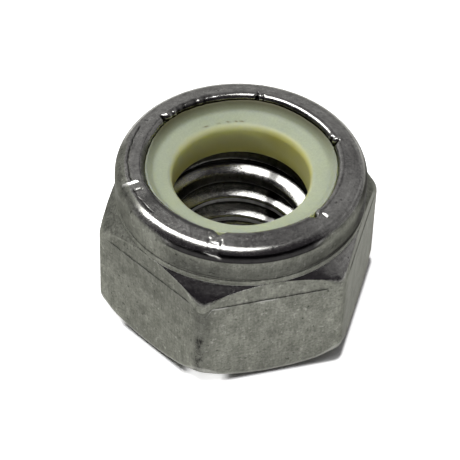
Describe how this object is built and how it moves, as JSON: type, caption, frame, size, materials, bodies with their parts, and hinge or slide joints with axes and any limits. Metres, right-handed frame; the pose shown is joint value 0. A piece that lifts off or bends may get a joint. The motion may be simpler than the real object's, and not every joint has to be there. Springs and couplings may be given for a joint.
{
  "type": "nylon insert lock nut",
  "caption": "Stainless steel hex lock nut whose rolled collar holds a nylon ring that grips the bolt's thread and keeps the nut from working loose.",
  "frame": {"origin": "centre of the bearing face, on the thread axis", "axes": "+Z along the thread axis from the bearing face to the collar, +X through a corner of the hexagon"},
  "size_m": [0.0144, 0.0128, 0.0087],
  "materials": {
    "steel": "tumbled stainless steel, dull on the flats and bright on the rolled shoulder and thread",
    "nylon": "natural nylon, pale cream green, slightly translucent"
  },
  "bodies": {
    "root": {"nut_body": "steel", "nylon_insert": "nylon"}
  },
  "joints": []
}
